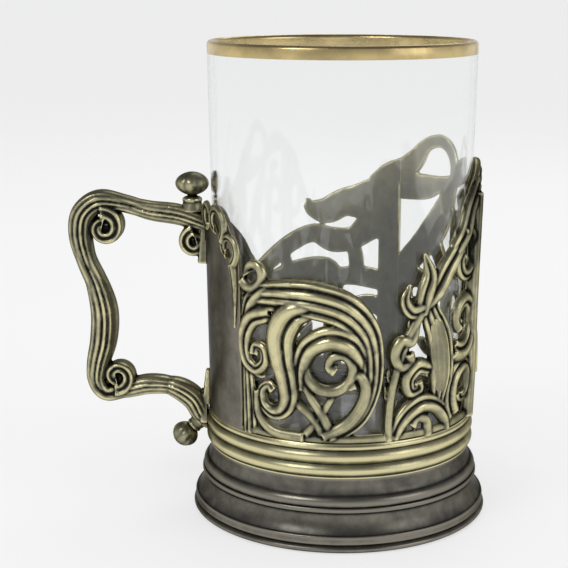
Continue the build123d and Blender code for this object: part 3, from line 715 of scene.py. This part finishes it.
# Knobs: node, centre, radius, height as a share of the width, and direction
KNOBS = (
    ("thumb_knob", (-38.28, 0, 85.0), 4.2, 0.72, (0, 0, 1)),
    ("lower_knob", (-40.98, 0, 17.6), 3.4, 0.94, (-0.707, 0, -0.707)),
)
NECK_FOOT = 0.74
NECK_TOP = 0.46
BUD_LOBES = 4
BUD_SWELL = 0.075
BUD_TRIM = 0.04

# Finest detail in millimetres that the smaller castings keep
SMALL_GRAIN = 0.2
PLATE_GRAIN = 0.3
HANDLE_GRAIN = 0.28

# Grain of the brass: noise scales and how much each one changes the wear
CLOUD_SCALE = 330.0
SPECK_SCALE = 2600.0
PATCH_SCALE = 75.0
PATCH_AMOUNT = 0.36
SPECK_AMOUNT = 0.12
NOISE_ROUGHNESS = 0.55

# Studio: lamps as (name, place, size, power), the camera fitted to the photo, and the floor
LAMPS = (
    ("key", (-0.42, -0.5, 0.62), 0.3, 1.5),
    ("fill", (0.62, -0.34, 0.4), 0.4, 0.7),
    ("back", (0.12, 0.55, 0.6), 0.4, 0.8),
)
LAMP_AIM = (0, 0, 0.055)
CAMERA_PLACE = (0, -0.36039, 0.13733)
CAMERA_DIP = 12.302
CAMERA_TURN = 2.323
CAMERA_LENS = 89.83
SENSOR_WIDTH = 36.0
FLOOR_SIZE = 40.0
FLOOR_GLOW = 0.6
GLOW_CLEARANCE = 0.037
WORLD_LIGHT = 0.9


# Materials
def node_tree(name):
    material = bpy.data.materials.new(name)
    material.use_nodes = True
    tree = material.node_tree
    return material, tree, tree.nodes["Principled BSDF"]


def set_inputs(node, values):
    for name, value in values.items():
        node.inputs[name].default_value = value


def object_coordinates(tree):
    return tree.nodes.new("ShaderNodeTexCoord").outputs["Object"]


def ramp_node(tree, stops):
    ramp = tree.nodes.new("ShaderNodeValToRGB")
    elements = ramp.color_ramp.elements
    while len(elements) < len(stops):
        elements.new(0.5)
    for element, (place, colour) in zip(elements, stops):
        element.position = place
        element.color = (*colour, 1)
    return ramp


def noise_node(tree, coordinates, scale, detail):
    noise = tree.nodes.new("ShaderNodeTexNoise")
    set_inputs(noise, {"Scale": scale, "Detail": detail, "Roughness": NOISE_ROUGHNESS})
    tree.links.new(coordinates, noise.inputs["Vector"])
    return noise.outputs["Fac"]


def math_node(tree, operation, first, second, third=None):
    node = tree.nodes.new("ShaderNodeMath")
    node.operation = operation
    for socket, value in zip(node.inputs, (first, second, third)):
        if isinstance(value, (int, float)):
            socket.default_value = value
        elif value is not None:
            tree.links.new(value, socket)
    return node.outputs[0]


def range_node(tree, value, limits):
    node = tree.nodes.new("ShaderNodeMapRange")
    set_inputs(node, limits)
    tree.links.new(value, node.inputs["Value"])
    return node.outputs["Result"]


def bump(tree, shader, height, strength, distance):
    node = tree.nodes.new("ShaderNodeBump")
    set_inputs(node, {"Strength": strength, "Distance": distance})
    tree.links.new(height, node.inputs["Height"])
    tree.links.new(node.outputs["Normal"], shader.inputs["Normal"])


def mix_surface(tree, share, first, second, output):
    mix = tree.nodes.new("ShaderNodeMixShader")
    for socket, value in zip(mix.inputs, (share, first.outputs[0], second.outputs[0])):
        tree.links.new(value, socket)
    tree.links.new(mix.outputs[0], output.inputs["Surface"])


def seen_rays(tree):
    """One for rays that the eye, the glass and the metal see by, and zero for the rest."""
    path = tree.nodes.new("ShaderNodeLightPath")
    eye = math_node(tree, "MAXIMUM", path.outputs["Is Camera Ray"], path.outputs["Is Transmission Ray"])
    return math_node(tree, "MAXIMUM", eye, path.outputs["Is Glossy Ray"])


def brass(name, hollow, middle, rubbed, rough_hollow, rough_rubbed, mottle, even=None):
    """Cast or spun brass: patina in the hollows, bright where it is rubbed, fine cast grain.

    Its wear is the piece's own, or the same all over where even is given.
    """
    material, tree, shader = node_tree(name)
    coordinates = object_coordinates(tree)
    wear = even
    if even is None:
        attribute = tree.nodes.new("ShaderNodeAttribute")
        attribute.attribute_name = "wear"
        wear = attribute.outputs["Fac"]
    cloud = noise_node(tree, coordinates, CLOUD_SCALE, 5.0)
    speck = noise_node(tree, coordinates, SPECK_SCALE, 3.0)
    patch = noise_node(tree, coordinates, PATCH_SCALE, 2.0)
    stain = math_node(tree, "MULTIPLY_ADD", cloud, mottle, -0.5 * mottle)
    stain = math_node(tree, "MULTIPLY_ADD", patch, PATCH_AMOUNT, stain)
    stain = math_node(tree, "SUBTRACT", stain, 0.5 * PATCH_AMOUNT)
    level = math_node(tree, "ADD", wear, stain)
    level = math_node(tree, "MULTIPLY_ADD", speck, SPECK_AMOUNT, level)
    level = math_node(tree, "SUBTRACT", level, 0.5 * SPECK_AMOUNT)
    mixed = tuple(0.45 * h + 0.55 * m for h, m in zip(hollow, middle))
    colour = ramp_node(tree, ((0.26, hollow), (0.45, mixed), (0.6, middle), (0.9, rubbed)))
    tree.links.new(level, colour.inputs["Fac"])
    tree.links.new(colour.outputs["Color"], shader.inputs["Base Color"])
    limits = {"From Min": 0.2, "From Max": 0.85, "To Min": rough_hollow, "To Max": rough_rubbed}
    rough = range_node(tree, level, limits)
    tree.links.new(rough, shader.inputs["Roughness"])
    bump(tree, shader, speck, strength=0.12, distance=0.0001)
    set_inputs(shader, {"Metallic": 1.0, "Specular Tint": (0.3, 0.3, 0.3, 1)})
    return material


def fired_gold(name, colour):
    """Thin fired gold, polished and worn a little thin in places."""
    material, tree, shader = node_tree(name)
    worn = noise_node(tree, object_coordinates(tree), 140.0, 6.0)
    ramp = ramp_node(tree, ((0.3, tuple(0.62 * c for c in colour)), (0.6, tuple(colour))))
    tree.links.new(worn, ramp.inputs["Fac"])
    tree.links.new(ramp.outputs["Color"], shader.inputs["Base Color"])
    rough = range_node(tree, worn, {"To Min": 0.36, "To Max": 0.16})
    tree.links.new(rough, shader.inputs["Roughness"])
    set_inputs(shader, {"Metallic": 1.0})
    return material


def clear_glass(name, tint):
    """Clear glass with faint waves in its wall, which lets the light of the lamps through."""
    material, tree, shader = node_tree(name)
    colour = (*tint, 1)
    set_inputs(shader, {"Base Color": colour, "Roughness": 0.0, "IOR": 1.5, "Transmission Weight": 1.0})
    wave = noise_node(tree, object_coordinates(tree), 60.0, 2.0)
    bump(tree, shader, wave, strength=0.02, distance=0.0005)
    shadow = tree.nodes.new("ShaderNodeLightPath").outputs["Is Shadow Ray"]
    clear = tree.nodes.new("ShaderNodeBsdfTransparent")
    set_inputs(clear, {"Color": colour})
    mix_surface(tree, shadow, shader, clear, tree.nodes["Material Output"])
    return material


def finishes():
    """The finishes by their slots, and brass with no ridges, made once and shared by the pieces."""
    looks = bpy.context.scene.holder_finish
    made = bpy.data.materials
    if "rubbed_brass_finish" not in made:
        wall = (looks.hollow, looks.middle, looks.rubbed)
        foot = (looks.hollow, looks.foot_middle, looks.foot_rubbed)
        satin = {"rough_hollow": 0.5, "rough_rubbed": 0.3, "mottle": 0.34}
        brass("rubbed_brass_finish", *wall, rough_hollow=0.5, rough_rubbed=0.26, mottle=0.3)
        brass("patinated_brass_finish", *foot, **satin)
        brass("even_brass_finish", *foot, **satin, even=0.64)
        fired_gold("fired_gold_finish", looks.gold)
        clear_glass("clear_glass_finish", looks.glass)
    slots = ("rubbed_brass", "patinated_brass", "even_brass", "fired_gold", "clear_glass")
    return {slot: made[slot + "_finish"] for slot in slots}


class StageOperator(bpy.types.Operator):
    """Adds the floor, the lamps, the pale surroundings and the camera"""

    bl_idname = "holder.stage"
    bl_label = "Studio stage"

    def execute(self, context):
        bpy.ops.mesh.primitive_plane_add(size=FLOOR_SIZE, location=(0, 0, 0))
        floor = context.object
        floor.name = "studio_floor"
        material, tree, shader = node_tree("studio_floor")
        set_inputs(shader, {"Base Color": (*context.scene.holder_finish.floor, 1), "Roughness": 0.9})
        self.lighten(tree, shader)
        floor.data.materials.append(material)
        for name, place, size, power in LAMPS:
            bpy.ops.object.light_add(type="AREA", location=place)
            lamp = context.object
            lamp.name = name
            lamp.data.size = size
            lamp.data.energy = power
            aim = Vector(LAMP_AIM) - Vector(place)
            lamp.rotation_euler = aim.to_track_quat("-Z", "Y").to_euler()
        self.surroundings(context)
        bpy.ops.object.camera_add(
            location=CAMERA_PLACE, rotation=(radians(90 - CAMERA_DIP), 0, radians(CAMERA_TURN))
        )
        camera = context.object
        camera.name = "photo_camera"
        camera.data.sensor_width = SENSOR_WIDTH
        camera.data.lens = CAMERA_LENS
        context.scene.camera = camera
        context.scene.view_settings.view_transform = "Standard"
        bpy.ops.object.select_all(action="DESELECT")
        return {"FINISHED"}

    def lighten(self, tree, shader):
        """Shows the floor nearly white, with its shadows, and leaves it plain under the foot."""
        white = tree.nodes.new("ShaderNodeEmission")
        place = tree.nodes.new("ShaderNodeVectorMath")
        place.operation = "LENGTH"
        tree.links.new(object_coordinates(tree), place.inputs[0])
        clear_of_foot = math_node(tree, "GREATER_THAN", place.outputs["Value"], GLOW_CLEARANCE)
        share = math_node(tree, "MULTIPLY", seen_rays(tree), clear_of_foot)
        share = math_node(tree, "MULTIPLY", share, FLOOR_GLOW)
        mix_surface(tree, share, shader, white, tree.nodes["Material Output"])

    def surroundings(self, context):
        """Pale at the horizon and darker above for what is seen, and even for the light on the object."""
        world = context.scene.world or bpy.data.worlds.new("studio")
        context.scene.world = world
        world.use_nodes = True
        tree = world.node_tree
        tree.nodes.clear()
        out = tree.nodes.new("ShaderNodeOutputWorld")
        soft = tree.nodes.new("ShaderNodeBackground")
        set_inputs(soft, {"Strength": WORLD_LIGHT})
        seen = tree.nodes.new("ShaderNodeBackground")
        way = tree.nodes.new("ShaderNodeSeparateXYZ")
        tree.links.new(tree.nodes.new("ShaderNodeTexCoord").outputs["Generated"], way.inputs[0])
        sky = ramp_node(tree, (
            (0.04, (0.92, 0.92, 0.93)), (0.3, (0.5, 0.5, 0.51)), (0.75, (0.14, 0.14, 0.15)),
        ))
        tree.links.new(way.outputs["Z"], sky.inputs["Fac"])
        tree.links.new(sky.outputs["Color"], seen.inputs["Color"])
        mix_surface(tree, seen_rays(tree), soft, seen, out)


class FootOperator(bpy.types.Operator):
    """Spins the rolled ring and the stepped skirt of the foot"""

    bl_idname = "holder.foot"
    bl_label = "Foot"

    def execute(self, context):
        ring = [
            (35.18, 2.0), (35.18, 0.25), (35.4, 0.0), (37.5, 0.0), *bow((37.5, 0.0), (37.5, 2.0), 1.06, 12),
            (37.5, 2.0), (36.4, 2.0),
        ]
        piece = spun("foot_ring_spun", fine(ring))
        mark_wear(piece, reach=0.00016, passes=10, lift=-0.12)
        finish_piece(piece, "holder", "patinated_brass", "foot_ring", crease=50)
        skirt = [
            (36.88, 2.0), (37.7, 2.0), (38.0, 2.2), (38.08, 2.6), (38.08, 3.9), (37.96, 4.25), (37.6, 4.4),
            *bow((37.6, 4.4), (35.72, 9.3), -0.55, 12),
            (35.72, 9.3), (35.9, 9.55), (36.14, 9.7), (36.18, 9.95), (36.18, 10.5), (36.02, 10.75),
            (35.7, 10.85), *bow((35.7, 10.85), (34.88, 13.4), 0.5, 10),
            (34.88, 13.4), (34.62, 13.6), *bow((34.62, 13.6), (34.08, 17.7), -0.4, 10),
            (34.08, 17.8), (25.08, 17.8), (25.08, 16.6), (32.88, 16.6), (33.68, 13.4), (34.48, 9.6),
            (36.88, 4.4),
        ]
        piece = spun("foot_skirt_spun", fine(skirt))
        mark_wear(piece, reach=0.00012, passes=10, lift=-0.06)
        finish_piece(piece, "holder", "patinated_brass", "foot_skirt", crease=50)
        return {"FINISHED"}


class CollarOperator(bpy.types.Operator):
    """Spins the collar with its two beads and the fine lines between them"""

    bl_idname = "holder.collar"
    bl_label = "Collar"

    def execute(self, context):
        outline = [(34.18, 17.8), (34.18, 18.2)]
        for low in (18.2, 21.6):
            top = low + 3.0
            outline += bow((34.18, low), (34.18, top), 0.8, 14) + [(34.18, top), (34.06, low + 3.2)]
        outline += [(34.18, 24.98)] + bow((34.18, 24.98), (33.98, 26.3), 0.35, 6)
        outline += [(33.98, 26.5), (32.79, 26.5), (32.66, 19.0), (32.66, 17.8)]
        piece = spun("collar_spun", fine(outline, 0.22))
        mark_wear(piece, reach=0.00007, passes=8, lift=-0.28)
        finish_piece(piece, "holder", "rubbed_brass", "collar_ring", crease=50)
        return {"FINISHED"}


class WallOperator(bpy.types.Operator):
    """Casts the four pierced panels of the wall"""

    bl_idname = "holder.wall"
    bl_label = "Pierced wall"

    def execute(self, context):
        sizes = context.scene.holder_sizes
        for node, fronds, start, end in WALL_CASTINGS:
            left, right = arc_mm(start, sizes), arc_mm(end, sizes)
            third = (right - left) / 3
            places = (left - 2, left + third, right - third, right + 2)
            rail = stem(*[(place, RAIL_LEVEL) for place in places], RAIL_WIDTH, RAIL_WIDTH)
            piece = scrollwork(node + "_cast", [("rib", rail)] + fronds())
            cast(piece, sizes.casting_grain / MM)
            cut_off(piece, (left, 0, 0), (-1, 0, 0))
            cut_off(piece, (right, 0, 0), (1, 0, 0))
            cut_off(piece, (0, 0, 0), (0, -1, 0))
            points = read_points(piece)
            lift = RIDGE_WEAR * (points[:, 2] - RIDGE_LEVEL)
            # Painted shade: the wall's right shoulder is darkened as if it lay in shadow
            lift -= SHOULDER_PAINTED_SHADE * self.shoulder(points)
            lift[points[:, 2] < INNER_FACE] = INNER_WEAR
            mark_wear(piece, reach=0.12, passes=12, lift=lift)
            wrap_on_wall(piece, sizes)
            finish_piece(piece, "holder", "rubbed_brass", node)
        return {"FINISHED"}

    def shoulder(self, points):
        """How much of the shoulder's painted shade each point has, from none to all."""
        x, y = points[:, 0], points[:, 1]
        across = np.clip((x - SHOULDER_LEFT) / 7.0, 0, 1) * np.clip((SHOULDER_RIGHT - x) / 8.0, 0, 1)
        return across * np.clip((y - SHOULDER_FOOT) / 12.0, 0, 1)


class PetalOperator(bpy.types.Operator):
    """Casts the smooth oval petal on the right panel"""

    bl_idname = "holder.petal"
    bl_label = "Petal"

    def execute(self, context):
        sizes = context.scene.holder_sizes
        stations = []
        for i in range(PETAL_STEPS + 1):
            t = i / PETAL_STEPS
            x, y = PETAL_FOOT[0] - PETAL_LEAN * t * t, PETAL_FOOT[1] + PETAL_LENGTH * t
            stations.append((x, y, PETAL_WIDTH * (4 * t * (1 - t)) ** 0.5 + PETAL_TIP))
        piece = scrollwork("petal_boss_cast", [("petal", through(stations, 3))], sizes.wall_thickness / MM)
        cast(piece, SMALL_GRAIN, soften=6)
        mark_wear(piece, reach=0.3, passes=20, lift=0.2)
        wrap_on_wall(piece, sizes)
        finish_piece(piece, "holder", "rubbed_brass", "petal_boss")
        return {"FINISHED"}


class StrapOperator(bpy.types.Operator):
    """Makes the plain strap behind the handle and the leaf borders on its corners"""

    bl_idname = "holder.strap"
    bl_label = "Strap"

    def execute(self, context):
        sizes = context.scene.holder_sizes
        piece = self.plate(sizes)
        wrap_on_wall(piece, sizes)
        finish_piece(piece, "holder", "patinated_brass", "seam_strap")
        rear = mirrored(STRAP_FRONDS, arc_mm(STRAP_MIDDLE, sizes), REAR_LEAF_DROP)
        for node, fronds in (("strap_leaf_front", STRAP_FRONDS), ("strap_leaf_rear", rear)):
            border = scrollwork(node + "_cast", fronds, sizes.wall_thickness / MM)
            cast(border, SMALL_GRAIN)
            lift = RIDGE_WEAR * (read_points(border)[:, 2] - STRAP_LEAF_LEVEL)
            mark_wear(border, reach=0.1, passes=12, lift=lift)
            wrap_on_wall(border, sizes)
            finish_piece(border, "holder", "rubbed_brass", node)
        return {"FINISHED"}

    def plate(self, sizes):
        """The strap's plain sheet, still flat and in millimetres."""
        middle, half = arc_mm(STRAP_MIDDLE, sizes), arc_mm(STRAP_HALF, sizes)
        half_thick = sizes.wall_thickness / MM / 2
        crest = through([(middle + share * half, height, 1) for share, height in STRAP_CREST])[0]
        sheet = closed_curve([(middle - half, 0.0), (middle + half, 0.0)] + crest)
        sheet.name = "seam_strap_plate"
        sheet.data.fill_mode = "BOTH"
        sheet.data.extrude = half_thick
        select_only(sheet)
        bpy.ops.object.convert(target="MESH")
        write_points(sheet, read_points(sheet) + (0, 0, half_thick))
        cast(sheet, PLATE_GRAIN, soften=1)
        mark_wear(sheet, reach=0.2, passes=12, lift=0.58)
        return sheet


class HandleOperator(bpy.types.Operator):
    """Casts the handle: its fluted bar, leaf sheaths, volutes and pads"""

    bl_idname = "holder.handle"
    bl_label = "Handle"

    def execute(self, context):
        bar = through(HANDLE_LINE)
        fronds = [("bar", bar)]
        for first, last, swell in HANDLE_SHEATHS:
            fronds.append(("sheath", self.sheath(bar, first, last, swell)))
        high, low, inner = HANDLE_EYES
        fronds += [
            ("curl", volute(high, 4.2, 1.1, 80, 450, 3.8, 2.6, eye=1.6)),
            ("curl", volute(low, 3.7, 1.1, -80, -450, 3.5, 2.5, eye=1.4)),
            ("curl", volute(inner, 3.3, 1.0, 80, -270, 3.2, 2.2, eye=1.4)),
            *[("bar", self.web(x, y)) for x, y in HANDLE_EYES],
            ("pad", stem((1.4, -5.0), (1.2, 0.0), (0.8, 4.0), (0.6, 9.0), 3.2, 1.4)),
            ("pad", stem((1.4, 38.0), (1.2, 42.0), (1.0, 48.0), (1.1, 52.8), 3.2, 1.6)),
        ]
        piece = scrollwork("handle_cast", fronds)
        cast(piece, HANDLE_GRAIN)
        mark_wear(piece, reach=0.17, passes=14)
        points = read_points(piece)
        out, up = WALL_BASE + points[:, 0], COLLAR_TOP + points[:, 1]
        write_points(piece, np.stack([-out, points[:, 2], up], 1) * MM)
        self.cope(piece)
        finish_piece(piece, "holder", "rubbed_brass", "handle")
        return {"FINISHED"}

    def sheath(self, bar, first, last, swell):
        """A leaf wrapped round a stretch of the bar, pointed at both ends."""
        points, widths = bar
        low, high = int(first * len(points)), int(last * len(points))
        count = high - low - 1
        grown = []
        for k in range(low, high):
            t = (k - low) / count
            grown.append(widths[k] * (SHEATH_TIP + (swell - SHEATH_TIP) * (4 * t * (1 - t)) ** 0.55))
        return points[low:high], grown

    def web(self, x, y):
        """A short bar that closes a volute's middle."""
        return stem((x - 1.2, y), (x - 0.4, y), (x + 0.4, y), (x + 1.2, y), 3.6, 3.6)

    def cope(self, piece):
        """Shapes the handle's ends to the wall and the collar."""
        cutter = spun("holder_body", HOLDER_BODY)
        apply_modifier(piece, "BOOLEAN", operation="DIFFERENCE", object=cutter, solver="EXACT")
        bpy.data.objects.remove(cutter)


class KnobOperator(bpy.types.Operator):
    """Shapes the two bud knobs of the handle"""

    bl_idname = "holder.knobs"
    bl_label = "Knobs"

    def execute(self, context):
        for node, centre, radius, squash, axis in KNOBS:
            piece = self.bud(node + "_cast", radius, squash)
            turn = Vector((0, 0, 1)).rotation_difference(Vector(axis)).to_matrix()
            points = read_points(piece) @ np.array(turn).T + np.array(centre)
            write_points(piece, points * MM)
            finish_piece(piece, "holder", "rubbed_brass", node)
        return {"FINISHED"}

    def bud(self, name, radius, squash):
        """A lobed bud on a short beaded neck."""
        bpy.ops.mesh.primitive_uv_sphere_add(segments=96, ring_count=48, radius=radius)
        bud = bpy.context.object
        points = read_points(bud)
        turn = np.arctan2(points[:, 1], points[:, 0])
        level = points[:, 2] / radius
        lobes = 1 + BUD_SWELL * np.abs(np.cos(BUD_LOBES * turn)) * (1 - level ** 2) - BUD_TRIM
        points[:, :2] *= lobes[:, None]
        points[:, 2] *= squash
        write_points(bud, points)
        bpy.ops.mesh.primitive_cone_add(
            vertices=64, radius1=NECK_FOOT * radius, radius2=NECK_TOP * radius, depth=0.9 * radius,
            location=(0, 0, -1.25 * radius),
        )
        neck = bpy.context.object
        bpy.ops.mesh.primitive_torus_add(
            major_radius=NECK_TOP * radius, minor_radius=0.16 * radius, major_segments=64,
            minor_segments=16, location=(0, 0, -radius),
        )
        bead = bpy.context.object
        piece = joined(name, [bud, neck, bead])
        bpy.ops.object.transform_apply(location=True, rotation=True, scale=True)
        cast(piece, SMALL_GRAIN)
        mark_wear(piece, reach=0.12, passes=12)
        return piece


class GlassOperator(bpy.types.Operator):
    """Spins the tea glass and its gold rim"""

    bl_idname = "holder.glass"
    bl_label = "Tea glass"

    def execute(self, context):
        glass = [
            (0.0, 19.35), (22.0, 19.35), (25.0, 19.0), (30.8, 19.0),
            *bow((30.8, 19.0), (32.23, 20.5), 0.42, 8),
            (32.23, 20.5), (32.7, 47.0), (33.3, 82.0), (33.944, 118.29), (33.79, 118.29), (33.84, 120.75),
            *bow((33.84, 120.75), (32.64, 120.75), 0.6, 10), (32.64, 120.75), (32.62, 120.5), (32.48, 120.5),
            (32.4, 118.0), (31.8, 82.0), (31.2, 47.0), (30.82, 26.0),
            *bow((30.82, 26.0), (28.8, 24.0), 0.55, 8), (28.8, 24.0), (20.0, 23.9), (0.0, 23.85),
        ]
        piece = spun("tea_glass_blown", fine(glass, 2.0))
        finish_piece(piece, "glass", "clear_glass", "tea_glass", crease=28)
        rim = [
            (33.8, 118.3), (33.95, 118.3), (33.99, 120.75), *bow((33.99, 120.75), (32.49, 120.75), 0.75, 12),
            (32.49, 120.75), (32.49, 120.52), (32.63, 120.52), (32.63, 120.74),
            *bow((32.63, 120.74), (33.85, 120.74), -0.6, 10), (33.85, 120.74),
        ]
        piece = spun("gilt_rim_fired", rim)
        finish_piece(piece, "glass", "fired_gold", "gilt_rim", crease=35)
        return {"FINISHED"}


class PlainOperator(bpy.types.Operator):
    """Gives the floor disc and the rivets, which stay as solids, their finish"""

    bl_idname = "holder.plain"
    bl_label = "Floor disc and rivets"

    def execute(self, context):
        for node in ("floor_disc", "handle_rivets"):
            item = frame["nodes"][node]
            item.data.materials.clear()
            item.data.materials.append(finishes()["even_brass"])
        return {"FINISHED"}


class HolderPanel(bpy.types.Panel):
    """Lists the sizes, the finishes and the pieces"""

    bl_idname = "HOLDER_PT_pieces"
    bl_label = "Tea Glass Holder"
    bl_space_type = "VIEW_3D"
    bl_region_type = "UI"
    bl_category = "Tea Glass"

    def draw(self, context):
        layout = self.layout
        for group in (context.scene.holder_sizes, context.scene.holder_finish):
            box = layout.box()
            for name in group.__annotations__:
                box.prop(group, name)
        for operator in OPERATORS:
            layout.operator(operator.bl_idname)


OPERATORS = (
    StageOperator, FootOperator, CollarOperator, WallOperator, PetalOperator, StrapOperator,
    HandleOperator, KnobOperator, GlassOperator, PlainOperator,
)
CLASSES = (HolderSizes, HolderFinish, *OPERATORS, HolderPanel)


def register():
    for item in CLASSES:
        bpy.utils.register_class(item)
    bpy.types.Scene.holder_sizes = bpy.props.PointerProperty(type=HolderSizes)
    bpy.types.Scene.holder_finish = bpy.props.PointerProperty(type=HolderFinish)


def unregister():
    del bpy.types.Scene.holder_finish
    del bpy.types.Scene.holder_sizes
    for item in reversed(CLASSES):
        bpy.utils.unregister_class(item)


def main():
    register()
    bpy.ops.holder.stage()
    bpy.ops.holder.foot()
    bpy.ops.holder.collar()
    bpy.ops.holder.wall()
    bpy.ops.holder.petal()
    bpy.ops.holder.strap()
    bpy.ops.holder.handle()
    bpy.ops.holder.knobs()
    bpy.ops.holder.glass()
    bpy.ops.holder.plain()


if __name__ == "__main__":
    main()
